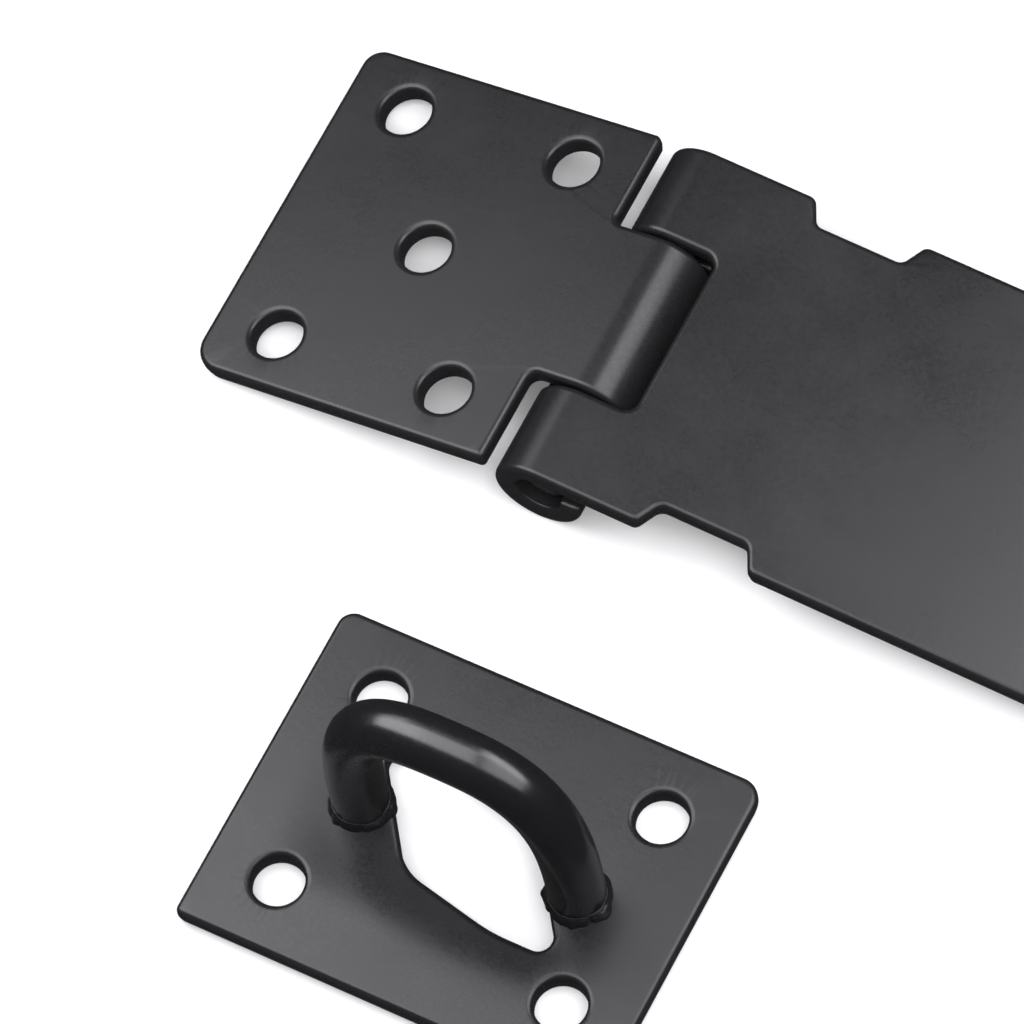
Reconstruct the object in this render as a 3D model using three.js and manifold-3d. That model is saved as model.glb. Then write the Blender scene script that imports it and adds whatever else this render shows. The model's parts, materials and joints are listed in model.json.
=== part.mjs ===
// Hasp and staple in black-coated steel sheet: a screw-on leaf, a slotted strap hinged to it on a pin,
// and a separate staple, which is a plate with a round-bar loop welded on.
// Millimetres, +Z up. X runs along the strap, Y along the hinge pin, and z = 0 is the surface it lies on.
// The hasp lies open: its knuckles and both free ends touch the surface, so each wing slopes down a little.
import * as THREE from 'three';
import { mergeVertices } from 'three/addons/utils/BufferGeometryUtils.js';
import Module from 'manifold-3d';

const wasm = await Module();
wasm.setup();

// Sheet, pin and knuckles
const SHEET = 2;
const PIN_DIAMETER = 4;
const PIN_CLEARANCE = 0.1;
const PIN_RECESS = 1.2;
const CURL_WRAP = THREE.MathUtils.degToRad(278);
const HINGE_WIDTH = 34.2;
const CENTRE_KNUCKLE_WIDTH = 15.7;
const KNUCKLE_SIDE_GAP = 0.3;
const KNUCKLE_RUN = 3;

// Fixed leaf, measured from the hinge axis
const LEAF_LENGTH = 34;
const LEAF_SHOULDER_GAP = 0.25;
const LEAF_END_RADIUS = 2.6;
const LEAF_HINGE_RADIUS = 0.5;
const TONGUE_ROOT_RADIUS = 0.8;
const LEAF_PITCH_X = 17.1;
const LEAF_PITCH_Y = 24.1;

// Strap, measured from the hinge axis
const STRAP_LENGTH = 84;
const STRAP_END_RADIUS = 8;
const CUTOUT_GAP = 0.6;
const CUTOUT_RADIUS = 1.2;
const NOTCH_START = 9.6;
const NOTCH_OPENING = 10.5;
const NOTCH_FLOOR = 8.1;
const NOTCH_DEPTH = 2.35;
const NOTCH_RADIUS = 0.9;
const SLOT_SIDE_CLEARANCE = 1.5;
const SLOT_END_CLEARANCE = 0.8;
const SLOT_END_MARGIN = 9.5;

// Staple plate, loop and welds
const PLATE_LENGTH = 40;
const PLATE_WIDTH = 31.1;
const PLATE_RADIUS = 2;
const PLATE_SHARP_RADIUS = 0.7;
const PLATE_PITCH_X = 26.7;
const PLATE_PITCH_Y = 18.6;
const BAR_DIAMETER = 5;
const LOOP_FOOT_SPACING = 20.5;
const LOOP_SPREAD = 1;
const LOOP_HEIGHT = 19.6;
const LOOP_SQUARENESS = 2.8;
const LOOP_TRIM = 1;
const WELD_WIDTH = 0.6;
const WELD_HEIGHT = 1;
const WELD_GAP = 0.05;

// Opening in the staple plate, between the feet of the loop
const OPENING_HALF_WIDTH = 4.85;
const OPENING_SIDE_ANGLE = THREE.MathUtils.degToRad(12);
const OPENING_END_ANGLE = THREE.MathUtils.degToRad(36);
const OPENING_FOOT_GAP = 0.1;
const OPENING_TIP_HALF_WIDTH = 5.93;
const OPENING_TIP_RADIUS = 1.25;
const OPENING_KNEE_RADIUS = 16;
const OPENING_BLUNT_RADIUS = 5;

// Screw holes
const SCREW_HOLE_DIAMETER = 4.6;

// Place of the staple, from the hinge axis to the middle of its plate
const STAPLE_X = 9.3;
const STAPLE_Y = -47.8;

// Faceting
const ARC_STEPS = 7;
const ROUND_SEGMENTS = 36;
const BAR_SEGMENTS = 24;
const LOOP_STEPS = 44;

const BORE_RADIUS = PIN_DIAMETER / 2 + PIN_CLEARANCE;
const KNUCKLE_RADIUS = BORE_RADIUS + SHEET;
const UNDERSIDE = KNUCKLE_RADIUS - SHEET;
const LEAF_SHOULDER = KNUCKLE_RADIUS + LEAF_SHOULDER_GAP;
const CUTOUT_EDGE = KNUCKLE_RADIUS + CUTOUT_GAP;
const CUTOUT_WIDTH = CENTRE_KNUCKLE_WIDTH + 2 * KNUCKLE_SIDE_GAP;
const SLOT_WIDTH = BAR_DIAMETER + 2 * SLOT_SIDE_CLEARANCE;
const SLOT_LENGTH = LOOP_FOOT_SPACING + 2 * LOOP_SPREAD + BAR_DIAMETER + 2 * SLOT_END_CLEARANCE;
const SLOT_CENTRE = STRAP_LENGTH - SLOT_END_MARGIN - SLOT_LENGTH / 2;

function coat(color, roughness) {
  return new THREE.MeshStandardMaterial({ color, roughness, metalness: 0.35 });
}

// A closed outline through [x, y, radius] corners, each rounded by its own radius.
function roundedShape(corners) {
  const shape = new THREE.Shape();
  corners.forEach(([x, y, radius], i) => {
    const before = corners[(i + corners.length - 1) % corners.length];
    const after = corners[(i + 1) % corners.length];
    const corner = new THREE.Vector2(x, y);
    const back = new THREE.Vector2(before[0] - x, before[1] - y).normalize();
    const ahead = new THREE.Vector2(after[0] - x, after[1] - y).normalize();
    const half = Math.acos(THREE.MathUtils.clamp(back.dot(ahead), -1, 1)) / 2;
    const start = corner.clone().addScaledVector(back, radius / Math.tan(half));
    const end = corner.clone().addScaledVector(ahead, radius / Math.tan(half));
    const middle = back.clone().add(ahead).normalize();
    const centre = corner.clone().addScaledVector(middle, radius / Math.sin(half));
    const from = start.sub(centre).angle();
    const to = end.sub(centre).angle();
    shape.absarc(centre.x, centre.y, radius, from, to, back.cross(ahead) > 0);
  });
  return shape;
}

function roundHole(x, y, radius) {
  const hole = new THREE.Path();
  hole.absarc(x, y, radius, 0, Math.PI, false);
  hole.absarc(x, y, radius, Math.PI, 2 * Math.PI, false);
  return hole;
}

// Four holes on a rectangle about (x, y).
function cornerHoles(x, y, pitchX, pitchY) {
  const holes = [];
  for (const side of [-1, 1]) {
    for (const end of [-1, 1]) {
      holes.push(roundHole(x + (end * pitchX) / 2, y + (side * pitchY) / 2, SCREW_HOLE_DIAMETER / 2));
    }
  }
  return holes;
}

// Flat sheet with its underside at height z.
function sheetGeometry(shape, z) {
  const geometry = new THREE.ExtrudeGeometry(shape, {
    depth: SHEET,
    bevelEnabled: false,
    curveSegments: ARC_STEPS,
  });
  return geometry.translate(0, 0, z);
}

// One knuckle: a short flat run at the top that curls round the pin, from y0 to y1.
// side is +1 where the sheet leaves towards +X and -1 where it leaves towards -X.
function knuckleGeometry(side, y0, y1) {
  const top = Math.PI / 2;
  const end = top + side * CURL_WRAP;
  const shape = new THREE.Shape();
  shape.moveTo(side * KNUCKLE_RUN, UNDERSIDE);
  shape.lineTo(side * KNUCKLE_RUN, KNUCKLE_RADIUS);
  shape.absarc(0, 0, KNUCKLE_RADIUS, top, end, side < 0);
  shape.absarc(0, 0, BORE_RADIUS, end, top, side > 0);
  const geometry = new THREE.ExtrudeGeometry(shape, {
    depth: y1 - y0,
    bevelEnabled: false,
    curveSegments: ROUND_SEGMENTS / 2,
  });
  return geometry.rotateX(Math.PI / 2).translate(0, y1, 0);
}

function toSolid(geometry) {
  const bare = geometry.clone();
  bare.deleteAttribute('normal');
  bare.deleteAttribute('uv');
  const merged = mergeVertices(bare, 1e-5);
  const vertProperties = new Float32Array(merged.attributes.position.array);
  const triVerts = new Uint32Array(merged.index.array);
  return new wasm.Manifold(new wasm.Mesh({ numProp: 3, vertProperties, triVerts }));
}

function toGeometry(solid) {
  const { vertProperties, triVerts } = solid.getMesh();
  const geometry = new THREE.BufferGeometry();
  geometry.setAttribute('position', new THREE.BufferAttribute(vertProperties, 3));
  geometry.setIndex(new THREE.BufferAttribute(triVerts, 1));
  geometry.computeVertexNormals();
  return geometry;
}

function joined(geometries) {
  const solids = geometries.map(toSolid);
  return toGeometry(solids.reduce((whole, piece) => whole.add(piece)));
}

function namedMesh(name, geometry, material) {
  const mesh = new THREE.Mesh(geometry, material);
  mesh.name = name;
  return mesh;
}

// Screw-on leaf: a plate with five holes and a centre tongue that curls down round the pin.
function fixedLeaf() {
  const half = HINGE_WIDTH / 2;
  const tongue = CENTRE_KNUCKLE_WIDTH / 2;
  const shape = roundedShape([
    [-LEAF_LENGTH, -half, LEAF_END_RADIUS],
    [-LEAF_SHOULDER, -half, LEAF_HINGE_RADIUS],
    [-LEAF_SHOULDER, -tongue, TONGUE_ROOT_RADIUS],
    [-KNUCKLE_RUN / 2, -tongue, 0],
    [-KNUCKLE_RUN / 2, tongue, 0],
    [-LEAF_SHOULDER, tongue, TONGUE_ROOT_RADIUS],
    [-LEAF_SHOULDER, half, LEAF_HINGE_RADIUS],
    [-LEAF_LENGTH, half, LEAF_END_RADIUS],
  ]);
  const middle = -(LEAF_LENGTH + LEAF_SHOULDER) / 2;
  shape.holes.push(roundHole(middle, 0, SCREW_HOLE_DIAMETER / 2));
  shape.holes.push(...cornerHoles(middle, 0, LEAF_PITCH_X, LEAF_PITCH_Y));
  const geometry = joined([sheetGeometry(shape, UNDERSIDE), knuckleGeometry(-1, -tongue, tongue)]);
  return namedMesh('fixed_leaf', geometry, coat(0x353538, 0.5));
}

// The outline corners of one notch in the strap's +Y edge, from the free end towards the hinge.
function notchCorners() {
  const edge = HINGE_WIDTH / 2;
  const ramp = (NOTCH_OPENING - NOTCH_FLOOR) / 2;
  return [
    [NOTCH_START + NOTCH_OPENING, edge, NOTCH_RADIUS],
    [NOTCH_START + NOTCH_OPENING - ramp, edge - NOTCH_DEPTH, NOTCH_RADIUS],
    [NOTCH_START + ramp, edge - NOTCH_DEPTH, NOTCH_RADIUS],
    [NOTCH_START, edge, NOTCH_RADIUS],
  ];
}

function strapSlot() {
  const slot = new THREE.Path();
  const radius = SLOT_WIDTH / 2;
  const reach = SLOT_LENGTH / 2 - radius;
  slot.absarc(SLOT_CENTRE + reach, 0, radius, -Math.PI / 2, Math.PI / 2, false);
  slot.absarc(SLOT_CENTRE - reach, 0, radius, Math.PI / 2, (3 * Math.PI) / 2, false);
  return slot;
}

// Strap: two outer bands curl down round the pin, on each side of the leaf's centre knuckle.
function haspStrap() {
  const half = HINGE_WIDTH / 2;
  const cut = CUTOUT_WIDTH / 2;
  const notch = notchCorners();
  const mirrored = notch.map(([x, y, radius]) => [x, -y, radius]).reverse();
  const shape = roundedShape([
    [KNUCKLE_RUN / 2, -half, 0],
    ...mirrored,
    [STRAP_LENGTH, -half, STRAP_END_RADIUS],
    [STRAP_LENGTH, half, STRAP_END_RADIUS],
    ...notch,
    [KNUCKLE_RUN / 2, half, 0],
    [KNUCKLE_RUN / 2, cut, 0],
    [CUTOUT_EDGE, cut, CUTOUT_RADIUS],
    [CUTOUT_EDGE, -cut, CUTOUT_RADIUS],
    [KNUCKLE_RUN / 2, -cut, 0],
  ]);
  shape.holes.push(strapSlot());
  const geometry = joined([
    sheetGeometry(shape, UNDERSIDE),
    knuckleGeometry(1, cut, half),
    knuckleGeometry(1, -half, -cut),
  ]);
  return namedMesh('hasp_strap', geometry, coat(0x39393c, 0.5));
}

function hingePin() {
  const length = HINGE_WIDTH - 2 * PIN_RECESS;
  const geometry = new THREE.CylinderGeometry(PIN_DIAMETER / 2, PIN_DIAMETER / 2, length, ROUND_SEGMENTS);
  return namedMesh('hinge_pin', geometry, coat(0x2a2a2c, 0.45));
}

// Where the line at angle a, offset p from the origin, meets the line at angle b, offset q.
function crossing(a, p, b, q) {
  const scale = Math.sin(b - a);
  const x = (p * Math.sin(b) - q * Math.sin(a)) / scale;
  const y = (q * Math.cos(a) - p * Math.cos(b)) / scale;
  return [x, y];
}

// A lozenge set askew between the feet, the same when turned half a turn about the plate's middle.
function plateOpening() {
  const sideNormal = -Math.PI / 2 - OPENING_SIDE_ANGLE;
  const endNormal = OPENING_END_ANGLE;
  const side = OPENING_HALF_WIDTH * Math.cos(OPENING_SIDE_ANGLE);
  const foot = (LOOP_FOOT_SPACING / 2) * Math.cos(OPENING_END_ANGLE);
  const end = foot - BAR_DIAMETER / 2 - OPENING_FOOT_GAP;
  const tipNormal = -Math.PI / 2;
  const tip = crossing(tipNormal, OPENING_TIP_HALF_WIDTH, endNormal, end);
  const knee = crossing(sideNormal, side, tipNormal, OPENING_TIP_HALF_WIDTH);
  const blunt = crossing(sideNormal, side, endNormal, -end);
  return roundedShape([
    [...tip, OPENING_TIP_RADIUS],
    [-blunt[0], -blunt[1], OPENING_BLUNT_RADIUS],
    [-knee[0], -knee[1], OPENING_KNEE_RADIUS],
    [-tip[0], -tip[1], OPENING_TIP_RADIUS],
    [...blunt, OPENING_BLUNT_RADIUS],
    [...knee, OPENING_KNEE_RADIUS],
  ]);
}

function staplePlate() {
  const x = PLATE_LENGTH / 2;
  const y = PLATE_WIDTH / 2;
  const shape = roundedShape([
    [-x, -y, PLATE_SHARP_RADIUS],
    [x, -y, PLATE_RADIUS],
    [x, y, PLATE_RADIUS],
    [-x, y, PLATE_RADIUS],
  ]);
  shape.holes.push(...cornerHoles(0, 0, PLATE_PITCH_X, PLATE_PITCH_Y), plateOpening());
  return namedMesh('staple_plate', sheetGeometry(shape, 0), coat(0x3f3f42, 0.5));
}

// Centreline of the loop in the XZ plane: upright legs that spread a little, under a flattened round top.
class LoopCurve extends THREE.Curve {
  getPoint(t, target = new THREE.Vector3()) {
    const turn = Math.PI * t;
    const power = 2 / LOOP_SQUARENESS;
    const rise = Math.max(Math.sin(turn), 0) ** power;
    const across = Math.sign(Math.cos(turn)) * Math.abs(Math.cos(turn)) ** power;
    const half = LOOP_FOOT_SPACING / 2 + LOOP_SPREAD * rise ** 2;
    return target.set(-half * across, 0, (LOOP_HEIGHT + LOOP_TRIM) * rise - LOOP_TRIM);
  }
}

// Round bar bent to the loop, its feet cut off flat where they stand on the plate.
function stapleLoop() {
  const bar = new THREE.Shape();
  bar.absarc(0, 0, BAR_DIAMETER / 2, 0, 2 * Math.PI, false);
  const swept = new THREE.ExtrudeGeometry(bar, {
    steps: LOOP_STEPS,
    curveSegments: BAR_SEGMENTS / 2,
    bevelEnabled: false,
    extrudePath: new LoopCurve(),
  });
  const room = LOOP_HEIGHT + LOOP_FOOT_SPACING;
  const above = new THREE.BoxGeometry(2 * room, room, room).translate(0, 0, room / 2);
  const geometry = toGeometry(toSolid(swept).intersect(toSolid(above)));
  return namedMesh('staple_loop', geometry, coat(0x303033, 0.4));
}

// Weld bead: a low ring of weld metal round one foot of the loop.
function weldBead(name) {
  const inner = BAR_DIAMETER / 2 + WELD_GAP;
  const profile = [
    new THREE.Vector2(inner, 0),
    new THREE.Vector2(inner + WELD_WIDTH, 0),
    new THREE.Vector2(inner + WELD_WIDTH, WELD_HEIGHT / 3),
    new THREE.Vector2(inner + WELD_WIDTH / 2, (WELD_HEIGHT * 5) / 6),
    new THREE.Vector2(inner, WELD_HEIGHT),
    new THREE.Vector2(inner, 0),
  ];
  const geometry = new THREE.LatheGeometry(profile, ROUND_SEGMENTS).rotateX(Math.PI / 2);
  return namedMesh(name, geometry, coat(0x29292b, 0.6));
}

// Downward tilt of a wing whose free end lies on the surface that the knuckles lie on.
function restTilt(length) {
  const reach = Math.hypot(length, UNDERSIDE);
  return Math.asin(KNUCKLE_RADIUS / reach) + Math.atan2(UNDERSIDE, length);
}

function hasp() {
  const leaf = fixedLeaf();
  leaf.rotation.y = -restTilt(LEAF_LENGTH);
  const strap = haspStrap();
  strap.rotation.y = restTilt(STRAP_LENGTH);
  const group = new THREE.Group();
  group.add(leaf, strap, hingePin());
  group.position.z = KNUCKLE_RADIUS;
  return group;
}

function staple() {
  const loop = stapleLoop();
  const left = weldBead('weld_bead_left');
  const right = weldBead('weld_bead_right');
  left.position.x = -LOOP_FOOT_SPACING / 2;
  right.position.x = LOOP_FOOT_SPACING / 2;
  const standing = new THREE.Group();
  standing.add(loop, left, right);
  standing.position.z = SHEET;
  const group = new THREE.Group();
  group.add(staplePlate(), standing);
  group.position.set(STAPLE_X, STAPLE_Y, 0);
  return group;
}

// The origin lies on the surface, under the middle of the whole set.
const set = new THREE.Group();
set.add(hasp(), staple());
const middle = new THREE.Box3().setFromObject(set, true).getCenter(new THREE.Vector3());
set.position.set(-middle.x, -middle.y, 0);
set.updateMatrixWorld(true);

export default set;
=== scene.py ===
"""Hasp and staple: fine surfaces, coats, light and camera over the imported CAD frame."""
import json
import math

import bmesh
import bpy
from mathutils import Matrix, Vector, noise
from mathutils.geometry import delaunay_2d_cdt


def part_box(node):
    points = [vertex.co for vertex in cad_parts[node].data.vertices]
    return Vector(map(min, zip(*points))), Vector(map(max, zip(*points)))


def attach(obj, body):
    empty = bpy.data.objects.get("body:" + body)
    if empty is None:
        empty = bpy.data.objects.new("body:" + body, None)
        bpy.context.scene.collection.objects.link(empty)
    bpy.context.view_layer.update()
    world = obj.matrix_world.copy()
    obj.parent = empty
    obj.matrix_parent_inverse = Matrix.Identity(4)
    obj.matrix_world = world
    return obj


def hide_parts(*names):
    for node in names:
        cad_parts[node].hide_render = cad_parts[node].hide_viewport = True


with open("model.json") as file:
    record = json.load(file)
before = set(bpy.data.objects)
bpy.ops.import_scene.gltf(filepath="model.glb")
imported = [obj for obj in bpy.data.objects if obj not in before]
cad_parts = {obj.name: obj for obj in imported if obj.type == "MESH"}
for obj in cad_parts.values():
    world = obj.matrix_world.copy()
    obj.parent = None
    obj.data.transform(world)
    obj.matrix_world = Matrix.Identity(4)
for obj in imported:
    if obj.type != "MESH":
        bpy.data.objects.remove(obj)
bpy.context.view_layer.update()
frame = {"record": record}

MM = 0.001

# ---------------------------------------------------------------- sizes, in millimetres
SHEET = 2.0
BORE = 2.1
KNUCKLE = BORE + SHEET
WRAP = math.radians(278)
WIDTH = 34.2
TONGUE = 15.7
SIDE_GAP = 0.3
CURL = KNUCKLE * WRAP
CURL_STEPS = 46
FLAT_LINE = 0.3
HOLE = 2.3

LEAF_LENGTH = 34.0
LEAF_SHOULDER = KNUCKLE + 0.25
LEAF_NEAR_RADIUS, LEAF_FAR_RADIUS = 2.6, 1.8
LEAF_HINGE_RADIUS = 0.6
TONGUE_ROOT_RADIUS = 0.8
TONGUE_TIP_RADIUS = 0.6
LEAF_HOLE_X, LEAF_HOLE_Y = 8.55, 12.05

STRAP_LENGTH = 84.0
STRAP_END_RADIUS = 8
STRAP_CURL_RADIUS = 0.65
CUTOUT_EDGE = KNUCKLE + 0.6
CUTOUT_RADIUS = 1.2
NOTCH_TOP = (9.6, 20.1)
NOTCH_FLOOR = (10.8, 18.9)
NOTCH_DEPTH = 2.35
NOTCH_RADIUS = 0.9
SLOT_WIDTH = 8.0
SLOT_LENGTH = 29.1
SLOT_CENTRE = STRAP_LENGTH - 9.5 - SLOT_LENGTH / 2

PLATE_X, PLATE_Y = 20.0, 15.55
PLATE_RADIUS, PLATE_FAR_LEFT_RADIUS, PLATE_NEAR_LEFT_RADIUS = 2, 1.5, 0.7
PLATE_HOLE_X, PLATE_HOLE_Y = 13.35, 9.3
BAR = 2.5
FOOT = 10.25
LOOP_HEIGHT = 19.6
LOOP_SPREAD = 1
LOOP_TRIM = 1
LOOP_SQUARENESS = 2.8

OPENING_SIDE, OPENING_END, OPENING_TIP = (math.radians(a) for a in (-102, 36, -90))
OPENING_HALF_WIDTH = 4.85
OPENING_TIP_HALF_WIDTH = 5.93
OPENING_FOOT_GAP = 0.1
OPENING_TIP_RADIUS, OPENING_BLUNT_RADIUS, OPENING_KNEE_RADIUS = 1.25, 5, 16

# Edges of punched sheet: rolled over (width, depth) at the outer face, torn inward below, blunt underneath.
ROLL = (0.55, 0.5)
HOLE_ROLL = (0.6, 0.42)
TEAR = 0.16
UNDER = 0.25

record = frame["record"]
mounts = {m["name"]: m for m in record["mounts"]}
hinge = next(j for j in record["behaviour"]["joints"] if j["name"] == "strap_hinge")
HINGE = Vector(hinge["pos_m"])
LEAF_TILT = -math.asin(-mounts["leaf_mounting_face"]["axis"][0])
STRAP_TILT = math.asin(mounts["strap_outer_face"]["axis"][0])
plate_low, plate_high = (Vector(c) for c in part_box("staple_plate"))
PLATE = (plate_low + plate_high) / 2
PLATE.z = plate_low.z
pin_low, pin_high = (Vector(c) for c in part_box("hinge_pin"))


# ---------------------------------------------------------------- outlines
def rounded(corners, steps=12, pitch=0.6, cuts=()):
    """Closed outline through (x, y, radius) corners: (x, y, nx, ny) points, normals away from the sheet."""
    loop = []
    n = len(corners)
    for i, (x, y, radius) in enumerate(corners):
        p = Vector((x, y))
        back = (Vector(corners[i - 1][:2]) - p).normalized()
        ahead = (Vector(corners[(i + 1) % n][:2]) - p).normalized()
        half = math.acos(max(-1, min(1, back.dot(ahead)))) / 2
        left = ahead.x * back.y - ahead.y * back.x > 0
        start = p + back * (radius / math.tan(half))
        end = p + ahead * (radius / math.tan(half))
        centre = p + (back + ahead).normalized() * (radius / math.sin(half))
        a0 = math.atan2(start.y - centre.y, start.x - centre.x)
        a1 = math.atan2(end.y - centre.y, end.x - centre.x)
        turn = (a1 - a0) % math.tau if left else -((a0 - a1) % math.tau)
        sign = 1 if left else -1
        for k in range(steps + 1):
            a = a0 + turn * k / steps
            c, s = math.cos(a), math.sin(a)
            loop.append((centre.x + radius * c, centre.y + radius * s, sign * c, sign * s))
    full = []
    for here, after in zip(loop, loop[1:] + loop[:1]):
        full.append(here)
        full += between(here, after, pitch, cuts)
    return full


def between(here, after, pitch, cuts):
    """Points on a straight run: on the bend lines that cross it, or else evenly spaced."""
    low, high = sorted((here[0], after[0]))
    crossed = [x for x in cuts if low + 0.02 < x < high - 0.02] if abs(after[1] - here[1]) < 1e-4 else []
    if crossed:
        shares = [(x - here[0]) / (after[0] - here[0]) for x in sorted(crossed, reverse=after[0] < here[0])]
    else:
        parts = int(math.dist(here[:2], after[:2]) / pitch)
        shares = [k / parts for k in range(1, parts)]
    return [tuple(a + (b - a) * t for a, b in zip(here, after)) for t in shares]


def circle(x, y, radius, steps=72):
    """Hole outline: normals point into the hole."""
    turn = [math.tau * k / steps for k in range(steps)]
    return [(x + radius * math.cos(a), y + radius * math.sin(a), -math.cos(a), -math.sin(a)) for a in turn][::-1]


def slot_outline(x, length, width, steps=28, pitch=0.6):
    r = width / 2
    reach = length / 2 - r
    corners = [(x - reach - r, -r, r * 0.999), (x + reach + r, -r, r * 0.999),
               (x + reach + r, r, r * 0.999), (x - reach - r, r, r * 0.999)]
    return flip(rounded(corners, steps, pitch))


def flip(loop):
    return [(x, y, -nx, -ny) for x, y, nx, ny in loop][::-1]


def edge_profile(roll, tear=TEAR, steps=7):
    """(inset, height) pairs down a sheet's edge, from its outer face at height 0 to its underside."""
    out = []
    for k in range(steps + 1):
        a = math.pi / 2 * k / steps
        out.append((roll[0] * (1 - math.sin(a)), -roll[1] * (1 - math.cos(a))))
    out.append((0, -0.5 * SHEET))
    for k in range(4):
        a = math.pi / 2 * k / 3
        out.append((tear + UNDER * (1 - math.cos(a)), -SHEET + UNDER * (1 - math.sin(a))))
    return out


def inside(point, loop):
    x, y = point
    odd = False
    for i, a in enumerate(loop):
        b = loop[i - 1]
        if (a[1] > y) != (b[1] > y) and x < (b[0] - a[0]) * (y - a[1]) / (b[1] - a[1]) + a[0]:
            odd = not odd
    return odd


def sheet_piece(name, outer, holes, place, bend_lines=()):
    """A pressed sheet: flat faces, rolled edges all round, mapped to its place by place(x, y, height)."""
    bm = bmesh.new()
    rims = [(outer, edge_profile(ROLL))] + [(h, edge_profile(HOLE_ROLL, 0)) for h in holes]
    for loop, profile in rims:
        rows = [[bm.verts.new((x - nx * i, y - ny * i, h)) for i, h in profile] for x, y, nx, ny in loop]
        for a in range(len(rows)):
            b = (a + 1) % len(rows)
            for k in range(len(profile) - 1):
                bm.faces.new((rows[a][k], rows[b][k], rows[b][k + 1], rows[a][k + 1]))
    for height, pick, up in ((0.0, 0, True), (-SHEET, -1, False)):
        coords, edges, loops = [], [], []
        for loop, profile in rims:
            i = profile[pick][0]
            first = len(coords)
            ring = [(x - nx * i, y - ny * i) for x, y, nx, ny in loop]
            coords += ring
            edges += [(first + k, first + (k + 1) % len(ring)) for k in range(len(ring))]
            loops.append(ring)
        for x in bend_lines:
            edges += across(coords, x)
        found = delaunay_2d_cdt([Vector(c) for c in coords], edges, [], 0, 1e-6)
        made = [bm.verts.new((v.x, v.y, height)) for v in found[0]]
        for tri in found[2]:
            middle = sum((found[0][k] for k in tri), Vector((0, 0))) / 3
            if inside(middle, loops[0]) and not any(inside(middle, h) for h in loops[1:]):
                face = [made[k] for k in tri]
                bm.faces.new(face if up else face[::-1])
    bmesh.ops.remove_doubles(bm, verts=bm.verts, dist=1e-4)
    loose = [v for v in bm.verts if not v.link_faces]
    bmesh.ops.delete(bm, geom=loose, context="VERTS")
    for v in bm.verts:
        v.co = place(*v.co)
    bmesh.ops.recalc_face_normals(bm, faces=bm.faces)
    return finish_piece(bm, name)


def across(coords, x):
    """Edges that cross a bent tongue along the line at x, between outline points that lie on it."""
    on = sorted((c[1], k) for k, c in enumerate(coords) if abs(c[0] - x) < 1e-4)
    return [(on[k][1], on[k + 1][1]) for k in range(0, len(on) - 1, 2)]


def finish_piece(bm, name):
    mesh = bpy.data.meshes.new(name)
    bm.to_mesh(mesh)
    bm.free()
    for polygon in mesh.polygons:
        polygon.use_smooth = True
    obj = bpy.data.objects.new(name, mesh)
    bpy.context.scene.collection.objects.link(obj)
    weighted = obj.modifiers.new("face weights", "WEIGHTED_NORMAL")
    weighted.keep_sharp = True
    weighted.weight = 100
    return obj


# ---------------------------------------------------------------- bends and places
def hinge_place(side, tilt):
    """Map of a developed sheet that leaves the hinge towards side: flat outside, curled round the pin inside."""
    turn = Matrix.Rotation(tilt, 3, "Y")

    def place(x, y, height):
        run = side * x
        radius = KNUCKLE + height
        if run >= 0:
            local = Vector((x, y, radius))
        else:
            a = -run / KNUCKLE
            local = Vector((-side * radius * math.sin(a), y, radius * math.cos(a)))
        return HINGE + turn @ local * MM
    return place


def plate_place(x, y, height):
    return PLATE + Vector((x, y, SHEET + height)) * MM


def leaf_piece():
    half, tongue = WIDTH / 2, TONGUE / 2
    lines = [-FLAT_LINE] + [CURL * k / CURL_STEPS for k in range(CURL_STEPS)]
    outer = rounded([(-LEAF_LENGTH, -half, LEAF_NEAR_RADIUS), (-LEAF_SHOULDER, -half, LEAF_HINGE_RADIUS),
                     (-LEAF_SHOULDER, -tongue, TONGUE_ROOT_RADIUS), (CURL, -tongue, TONGUE_TIP_RADIUS),
                     (CURL, tongue, TONGUE_TIP_RADIUS), (-LEAF_SHOULDER, tongue, TONGUE_ROOT_RADIUS),
                     (-LEAF_SHOULDER, half, LEAF_HINGE_RADIUS), (-LEAF_LENGTH, half, LEAF_FAR_RADIUS)], cuts=lines)
    middle = -(LEAF_LENGTH + LEAF_SHOULDER) / 2
    holes = [circle(middle, 0, HOLE)]
    holes += [circle(middle + sx * LEAF_HOLE_X, sy * LEAF_HOLE_Y, HOLE) for sx in (-1, 1) for sy in (-1, 1)]
    return sheet_piece("leaf_sheet", outer, holes, hinge_place(-1, LEAF_TILT), lines)


def strap_piece():
    half, cut, floor_y = WIDTH / 2, TONGUE / 2 + SIDE_GAP, WIDTH / 2 - NOTCH_DEPTH
    lines = [FLAT_LINE] + [-CURL * k / CURL_STEPS for k in range(CURL_STEPS)]
    notch = [(x, y, NOTCH_RADIUS) for x, y in ((NOTCH_TOP[1], half), (NOTCH_FLOOR[1], floor_y),
                                               (NOTCH_FLOOR[0], floor_y), (NOTCH_TOP[0], half))]
    mirrored = [(x, -y, r) for x, y, r in notch[::-1]]
    outer = rounded([(-CURL, -half, STRAP_CURL_RADIUS), *mirrored, (STRAP_LENGTH, -half, STRAP_END_RADIUS),
                     (STRAP_LENGTH, half, STRAP_END_RADIUS), *notch, (-CURL, half, STRAP_CURL_RADIUS),
                     (-CURL, cut, STRAP_CURL_RADIUS), (CUTOUT_EDGE, cut, CUTOUT_RADIUS),
                     (CUTOUT_EDGE, -cut, CUTOUT_RADIUS), (-CURL, -cut, STRAP_CURL_RADIUS)], cuts=lines)
    slot = slot_outline(SLOT_CENTRE, SLOT_LENGTH, SLOT_WIDTH)
    return sheet_piece("strap_sheet", outer, [slot], hinge_place(1, STRAP_TILT), lines)


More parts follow.
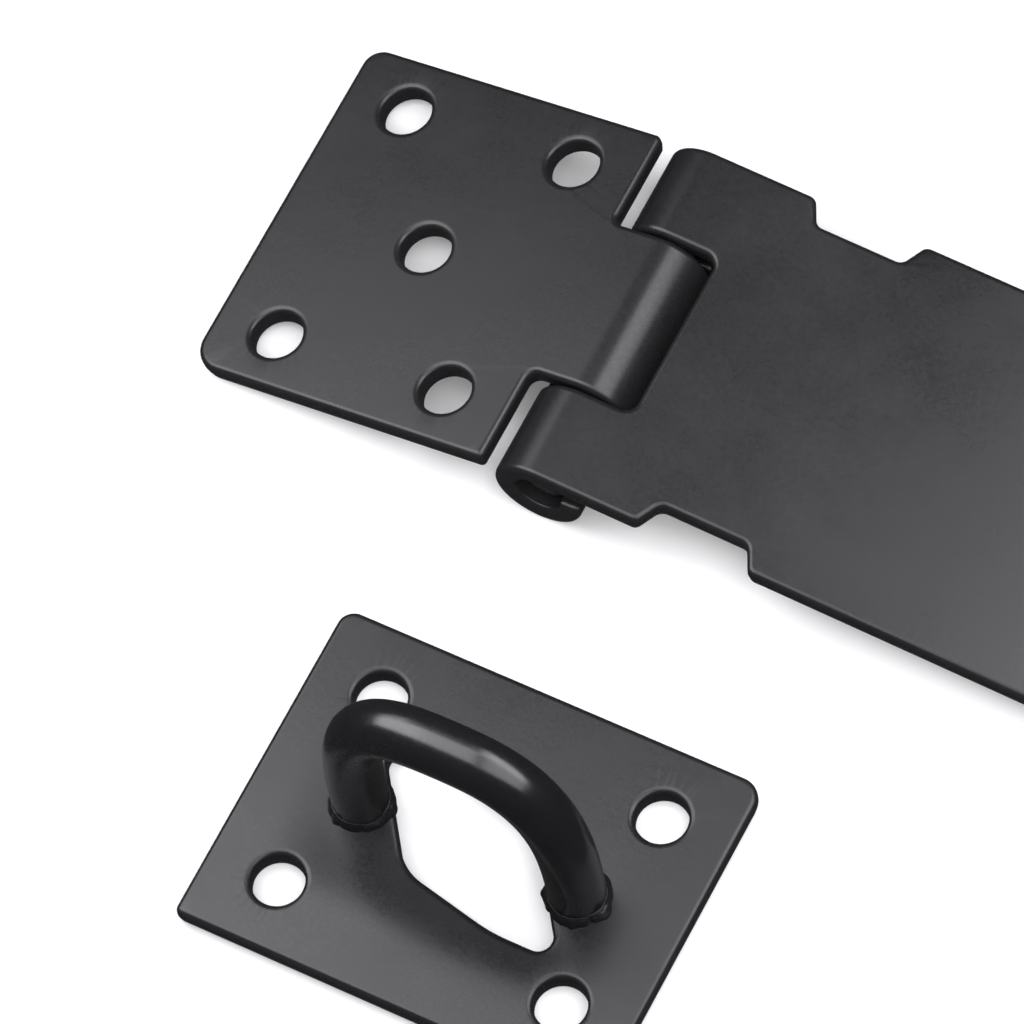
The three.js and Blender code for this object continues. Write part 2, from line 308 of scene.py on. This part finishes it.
def crossing(a, p, b, q):
    """Where the line with normal angle a, offset p from the origin, meets the one at angle b, offset q."""
    scale = math.sin(b - a)
    return ((p * math.sin(b) - q * math.sin(a)) / scale, (q * math.cos(a) - p * math.cos(b)) / scale)


def plate_piece():
    outer = rounded([(-PLATE_X, -PLATE_Y, PLATE_NEAR_LEFT_RADIUS), (PLATE_X, -PLATE_Y, PLATE_RADIUS),
                     (PLATE_X, PLATE_Y, PLATE_RADIUS), (-PLATE_X, PLATE_Y, PLATE_FAR_LEFT_RADIUS)])
    holes = [circle(sx * PLATE_HOLE_X, sy * PLATE_HOLE_Y, HOLE) for sx in (-1, 1) for sy in (-1, 1)]
    side_off = OPENING_HALF_WIDTH * math.cos(OPENING_SIDE - OPENING_TIP)
    end_off = FOOT * math.cos(OPENING_END) - BAR - OPENING_FOOT_GAP
    tip = crossing(OPENING_TIP, OPENING_TIP_HALF_WIDTH, OPENING_END, end_off)
    knee = crossing(OPENING_SIDE, side_off, OPENING_TIP, OPENING_TIP_HALF_WIDTH)
    blunt = crossing(OPENING_SIDE, side_off, OPENING_END, -end_off)
    half = [(*tip, OPENING_TIP_RADIUS), (-blunt[0], -blunt[1], OPENING_BLUNT_RADIUS),
            (-knee[0], -knee[1], OPENING_KNEE_RADIUS)]
    opening = half + [(-x, -y, r) for x, y, r in half]
    holes.append(flip(rounded(opening)))
    return sheet_piece("plate_sheet", outer, holes, plate_place)


# ---------------------------------------------------------------- bar, welds and pin
def lofted(bm, rings):
    """Quads between rings of vertices, each ring closed on itself, with a face over each end."""
    rows = [[bm.verts.new(p) for p in ring] for ring in rings]
    for low, high in zip(rows, rows[1:]):
        for k in range(len(low)):
            m = (k + 1) % len(low)
            bm.faces.new((low[k], low[m], high[m], high[k]))
    bm.faces.new(rows[0][::-1])
    bm.faces.new(rows[-1])


LOOP_RINGS, LOOP_SIDES = 200, 48


def loop_point(t):
    """Centreline of the bar at share t: half a superellipse that spreads a little above the feet."""
    turn = math.pi * t
    power = 2 / LOOP_SQUARENESS
    rise = max(math.sin(turn), 0) ** power
    side = math.copysign(abs(math.cos(turn)) ** power, math.cos(turn))
    return Vector((-(FOOT + LOOP_SPREAD * rise ** 2) * side, 0, (LOOP_HEIGHT + LOOP_TRIM) * rise - LOOP_TRIM))


def even_path(count, fine=4000):
    """Points evenly spaced along the loop's centreline, from plate to plate."""
    raw = [loop_point(k / fine) for k in range(fine + 1)]
    raw = [p for p in raw if p.z >= 0]
    lengths = [0.0]
    for a, b in zip(raw, raw[1:]):
        lengths.append(lengths[-1] + (b - a).length)
    out, k = [], 0
    for i in range(count + 1):
        want = lengths[-1] * i / count
        while k < len(raw) - 2 and lengths[k + 1] < want:
            k += 1
        share = (want - lengths[k]) / max(lengths[k + 1] - lengths[k], 1e-9)
        out.append(raw[k].lerp(raw[k + 1], min(share, 1)))
    return out


def loop_piece():
    path = even_path(LOOP_RINGS)
    rings = []
    for i, p in enumerate(path):
        tangent = (path[min(i + 1, len(path) - 1)] - path[max(i - 1, 0)]).normalized()
        outward = tangent.cross(Vector((0, 1, 0)))
        ring = []
        for k in range(LOOP_SIDES):
            a = math.tau * k / LOOP_SIDES
            v = p + (Vector((0, 1, 0)) * math.cos(a) + outward * math.sin(a)) * BAR
            if i in (0, len(path) - 1):
                v -= tangent * (v.z / tangent.z)
            ring.append(plate_place(v.x, v.y, v.z))
        rings.append(ring)
    bm = bmesh.new()
    lofted(bm, rings)
    bmesh.ops.recalc_face_normals(bm, faces=bm.faces)
    return finish_piece(bm, "loop_bar")


WELD_AROUND, WELD_DOWN = 144, 12
WELD_REACH, WELD_HEIGHT = 0.4, 0.85
WELD_GAP, WELD_ROOT = 0.02, 0.25
# Frozen drops (and pits, where the size is negative) round each bead: angle, spread and size.
WELD_LUMPS = {1: [(0.1, 0.22, 0.3), (2.9, 0.16, 0.25), (3.4, 0.07, -0.3), (4.3, 0.1, 0.15), (5.2, 0.06, -0.2)],
              2: [(6.1, 0.25, 0.4), (5.6, 0.07, -0.35), (3.5, 0.12, 0.2), (4.2, 0.06, -0.2), (5.0, 0.1, 0.15)]}


def weld_piece(name, foot_x, seed):
    """Weld bead: an uneven fillet of rippled metal laid round the foot, with a few frozen drops."""
    bm = bmesh.new()
    rings = []
    for i in range(WELD_AROUND):
        a = math.tau * i / WELD_AROUND
        spot = Vector((math.cos(a) * 1.3, math.sin(a) * 1.3, seed * 7.3))
        lump = noise.noise(spot) + noise.noise(spot * 3.1) * 0.5
        ripple = 0.012 * math.sin(21 * a + 2.5 * math.sin(2 * a + seed)) + 0.03 * noise.noise(spot * 9)
        reach = WELD_REACH + 0.12 * lump + ripple
        for centre, spread, size in WELD_LUMPS[seed]:
            off = (a - centre + math.pi) % math.tau - math.pi
            reach += size * math.exp(-((off / spread) ** 2))
        height = WELD_HEIGHT + 0.3 * noise.noise(spot * 1.7 + Vector((3, 1, 0))) + ripple
        ring = []
        for k in range(WELD_DOWN + 1):
            share = k / WELD_DOWN
            swell = 0.05 * math.sin(math.pi * share) * (1 + noise.noise(spot * 6 + Vector((0, 0, 4 * share))))
            ring.append((BAR + WELD_GAP + reach * share ** 1.2 + swell,
                         height * (1 - share) ** 0.9 + swell * (share < 1)))
        ring += [(BAR - WELD_ROOT, 0.0), (BAR - WELD_ROOT, height * 0.6)]
        rings.append([plate_place(foot_x + r * math.cos(a), r * math.sin(a), h) for r, h in ring])
    rows = [[bm.verts.new(p) for p in ring] for ring in rings]
    for i, low in enumerate(rows):
        high = rows[(i + 1) % len(rows)]
        for k in range(len(low)):
            m = (k + 1) % len(low)
            bm.faces.new((low[k], low[m], high[m], high[k]))
    bmesh.ops.recalc_face_normals(bm, faces=bm.faces)
    return finish_piece(bm, name)


PIN_SIDES = 64


def pin_piece():
    """Pin with slightly domed ends."""
    radius = (pin_high.x - pin_low.x) / 2
    centre = (pin_low + pin_high) / 2
    half = (pin_high.y - pin_low.y) / 2
    profile = [(0.00005, half), (radius * 0.4, half - 0.02e-3), (radius * 0.75, half - 0.08e-3),
               (radius * 0.93, half - 0.2e-3), (radius, half - 0.42e-3)]
    stations = profile + [(r, -y) for r, y in profile[::-1]]
    rings = []
    for r, y in stations:
        turns = [math.tau * k / PIN_SIDES for k in range(PIN_SIDES)]
        rings.append([centre + Vector((r * math.cos(a), y, r * math.sin(a))) for a in turns])
    bm = bmesh.new()
    lofted(bm, rings)
    bmesh.ops.recalc_face_normals(bm, faces=bm.faces)
    return finish_piece(bm, "pin_rod")


# ---------------------------------------------------------------- coats
MOTTLE = 0.14
ROUGH_SPREAD = 0.05
FINE_BUMP = (0.2, 0.00001)      # strength, and height in metres
BROAD_BUMP = (0.3, 0.00003)


def coat(name, colour, rough, grain=1.0, ior=1.5):
    """Satin black coat: cloudy colour, fine orange peel, specks, and edges rubbed a little lighter."""
    material = bpy.data.materials.new(name)
    material.use_nodes = True
    nodes, links = material.node_tree.nodes, material.node_tree.links
    shader = nodes["Principled BSDF"]
    shader.inputs["Metallic"].default_value = 0.0
    shader.inputs["IOR"].default_value = ior
    place = nodes.new("ShaderNodeTexCoord").outputs["Object"]

    def texture(scale, detail, roughness=0.55):
        node = nodes.new("ShaderNodeTexNoise")
        node.inputs["Scale"].default_value = scale
        node.inputs["Detail"].default_value = detail
        node.inputs["Roughness"].default_value = roughness
        links.new(place, node.inputs["Vector"])
        return node.outputs["Fac"]

    def span(value, low, high, start=0.3, stop=0.7):
        node = nodes.new("ShaderNodeMapRange")
        node.inputs["From Min"].default_value = start
        node.inputs["From Max"].default_value = stop
        node.inputs["To Min"].default_value = low
        node.inputs["To Max"].default_value = high
        links.new(value, node.inputs["Value"])
        return node.outputs["Result"]

    def maths(kind, a, b):
        node = nodes.new("ShaderNodeMath")
        node.operation = kind
        for socket, value in zip(node.inputs, (a, b)):
            if isinstance(value, (int, float)):
                socket.default_value = value
            else:
                links.new(value, socket)
        return node.outputs["Value"]

    clouds = texture(70, 4)
    cells = texture(420, 5)
    specks = texture(2600, 3)
    peel = texture(1500, 2, 0.4)
    worn = nodes.new("ShaderNodeNewGeometry").outputs["Pointiness"]
    edge = span(worn, 0.0, 1.0, 0.53, 0.62)
    tone = maths("MULTIPLY", span(clouds, 1 - MOTTLE, 1 + MOTTLE), span(cells, 0.93, 1.07))
    tone = maths("MULTIPLY", tone, span(specks, 0.95, 1.05))
    tone = maths("ADD", tone, maths("MULTIPLY", edge, span(cells, 0.0, 0.5)))
    tint = nodes.new("ShaderNodeVectorMath")
    tint.operation = "SCALE"
    tint.inputs[0].default_value = colour
    links.new(tone, tint.inputs["Scale"])
    links.new(tint.outputs["Vector"], shader.inputs["Base Color"])
    dull = maths("ADD", span(clouds, rough - ROUGH_SPREAD, rough + ROUGH_SPREAD), span(specks, -0.03, 0.03))
    links.new(dull, shader.inputs["Roughness"])
    normal = None
    for height, (strength, distance) in ((specks, FINE_BUMP), (peel, BROAD_BUMP)):
        bump = nodes.new("ShaderNodeBump")
        bump.inputs["Strength"].default_value = strength * grain
        bump.inputs["Distance"].default_value = distance
        links.new(height, bump.inputs["Height"])
        if normal:
            links.new(normal, bump.inputs["Normal"])
        normal = bump.outputs["Normal"]
    links.new(normal, shader.inputs["Normal"])
    return material


# Where the plate sinks, in millimetres from its middle: over these steps in y, at the left and at the right.
SINK_DEPTH = 0.42
SINK_NEAR = (-10.5, -1.5)
SINK_LEFT = (-17.0, -9.0)
SINK_RIGHT = (6.0, 16.0)


def sink(material):
    """Draws the plate down a little on the near side of its opening, where it was punched and welded."""
    nodes, links = material.node_tree.nodes, material.node_tree.links
    spot = nodes.new("ShaderNodeSeparateXYZ")
    links.new(nodes.new("ShaderNodeTexCoord").outputs["Object"], spot.inputs["Vector"])

    def step(axis, start, stop, low=0.0, high=1.0):
        node = nodes.new("ShaderNodeMapRange")
        node.interpolation_type = "SMOOTHERSTEP"
        middle = PLATE.x if axis == "X" else PLATE.y
        for name, value in zip(("From Min", "From Max", "To Min", "To Max"),
                               (middle + start * MM, middle + stop * MM, low, high)):
            node.inputs[name].default_value = value
        links.new(spot.outputs[axis], node.inputs["Value"])
        return node.outputs["Result"]

    def product(a, b):
        node = nodes.new("ShaderNodeMath")
        node.operation = "MULTIPLY"
        links.new(a, node.inputs[0])
        links.new(b, node.inputs[1])
        return node.outputs["Value"]

    depth = product(step("Y", *SINK_NEAR), product(step("X", *SINK_LEFT), step("X", *SINK_RIGHT, 1.0, 0.0)))
    dip = nodes.new("ShaderNodeBump")
    dip.invert = True
    dip.inputs["Strength"].default_value = 1.0
    dip.inputs["Distance"].default_value = SINK_DEPTH * MM
    links.new(depth, dip.inputs["Height"])
    shader = nodes["Principled BSDF"]
    links.new(shader.inputs["Normal"].links[0].from_socket, dip.inputs["Normal"])
    links.new(dip.outputs["Normal"], shader.inputs["Normal"])
    return material


def add(piece, body, node, material):
    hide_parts(node)
    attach(piece, body)
    piece.data.materials.append(material)


add(leaf_piece(), "leaf", "fixed_leaf", coat("leaf coat", (0.012, 0.012, 0.013), 0.3, 0.5))
add(strap_piece(), "strap", "hasp_strap", coat("strap coat", (0.012, 0.012, 0.013), 0.3, 0.5))
add(pin_piece(), "strap", "hinge_pin", coat("pin coat", (0.02, 0.02, 0.022), 0.45))
add(plate_piece(), "staple", "staple_plate",
    sink(coat("plate coat", (0.012, 0.012, 0.0135), 0.3, 0.5)))
add(loop_piece(), "staple", "staple_loop", coat("loop coat", (0.007, 0.007, 0.008), 0.22, 0.5, 1.68))
weld = coat("weld coat", (0.008, 0.008, 0.009), 0.42, 2.0)
add(weld_piece("weld_left", -FOOT, 1), "staple", "weld_bead_left", weld)
add(weld_piece("weld_right", FOOT, 2), "staple", "weld_bead_right", weld)


# ---------------------------------------------------------------- floor, light and camera
FLOOR_TONE = 0.8
FLOOR_GLOW = 0.12
LIGHT_COLOUR = (0.972, 0.965, 1)
AMBIENT = 0.04
BACKDROP = 1.0


def floor():
    bpy.ops.mesh.primitive_plane_add(size=6, location=(0, 0, 0))
    plane = bpy.context.object
    plane.name = "floor"
    material = bpy.data.materials.new("floor")
    material.use_nodes = True
    shader = material.node_tree.nodes["Principled BSDF"]
    shader.inputs["Base Color"].default_value = (FLOOR_TONE, FLOOR_TONE, FLOOR_TONE, 1)
    shader.inputs["Roughness"].default_value = 0.9
    shader.inputs["Emission Color"].default_value = (1, 1, 1, 1)
    shader.inputs["Emission Strength"].default_value = FLOOR_GLOW
    shader.inputs["Specular IOR Level"].default_value = 0.0
    plane.data.materials.append(material)
    plane.visible_glossy = False


def soft_light(name, location, target, size, power):
    data = bpy.data.lights.new(name, "AREA")
    data.shape = "RECTANGLE"
    data.size, data.size_y = size
    data.energy = power
    data.color = LIGHT_COLOUR
    light = bpy.data.objects.new(name, data)
    light.location = location
    light.rotation_euler = (Vector(target) - Vector(location)).to_track_quat("-Z", "Y").to_euler()
    light.visible_camera = False
    bpy.context.scene.collection.objects.link(light)


floor()
world = bpy.data.worlds.new("studio")
world.use_nodes = True
world.node_tree.nodes["Background"].inputs["Color"].default_value = (1, 1, 1, 1)
seen = world.node_tree.nodes.new("ShaderNodeLightPath").outputs["Is Camera Ray"]
strength = world.node_tree.nodes.new("ShaderNodeMapRange")
strength.inputs["To Min"].default_value = AMBIENT
strength.inputs["To Max"].default_value = BACKDROP
world.node_tree.links.new(seen, strength.inputs["Value"])
world.node_tree.links.new(strength.outputs["Result"], world.node_tree.nodes["Background"].inputs["Strength"])
bpy.context.scene.world = world
# Soft boxes side by side overhead: (x from, x to, y from, y to, watts per square metre).
BOX_HEIGHT = 0.16
BOXES = {"box_front": (-0.3, -0.07, -0.09, 0.038, 14.5), "box_middle": (-0.07, -0.005, -0.09, 0.038, 9.5),
         "box_left": (-0.3, -0.12, 0.038, 0.1, 8.5), "box_back": (-0.12, 0.0, 0.038, 0.09, 1.5),
         "box_right": (0.0, 0.2, 0.03, 0.122, 15), "box_front_right": (0.01, 0.2, -0.09, 0.03, 8)}
for name, (x0, x1, y0, y1, watts) in BOXES.items():
    box_middle, size = ((x0 + x1) / 2, (y0 + y1) / 2), (x1 - x0, y1 - y0)
    soft_light(name, (*box_middle, BOX_HEIGHT), (*box_middle, 0), size, watts * size[0] * size[1])
sun = bpy.data.lights.new("window", "SUN")
sun.angle = math.radians(60)
sun.energy = 1.6
sun_object = bpy.data.objects.new("window", sun)
sun_object.rotation_euler = Vector((-0.5, 0.5, -0.7)).to_track_quat("-Z", "Y").to_euler()
sun_object.visible_glossy = False
bpy.context.scene.collection.objects.link(sun_object)

AZIMUTH, ELEVATION, ROLL = (math.radians(a) for a in (38.648, 62.935, -12.637))
AIM = Vector((-0.027456, 0.005504, 0))
DISTANCE = 0.72836
back = Vector((math.sin(AZIMUTH) * math.cos(ELEVATION), -math.cos(AZIMUTH) * math.cos(ELEVATION),
               math.sin(ELEVATION)))
right0 = Vector((math.cos(AZIMUTH), math.sin(AZIMUTH), 0))
up0 = back.cross(right0)
right = right0 * math.cos(ROLL) + up0 * math.sin(ROLL)
up = up0 * math.cos(ROLL) - right0 * math.sin(ROLL)
camera_data = bpy.data.cameras.new("camera")
camera_data.lens = 299.67
camera_data.sensor_width = 36
camera_data.clip_start = 0.01
camera = bpy.data.objects.new("camera", camera_data)
camera.matrix_world = Matrix.Translation(AIM + back * DISTANCE) @ Matrix((right, up, back)).transposed().to_4x4()
bpy.context.scene.collection.objects.link(camera)
bpy.context.scene.camera = camera

bpy.context.scene.view_settings.view_transform = "Standard"
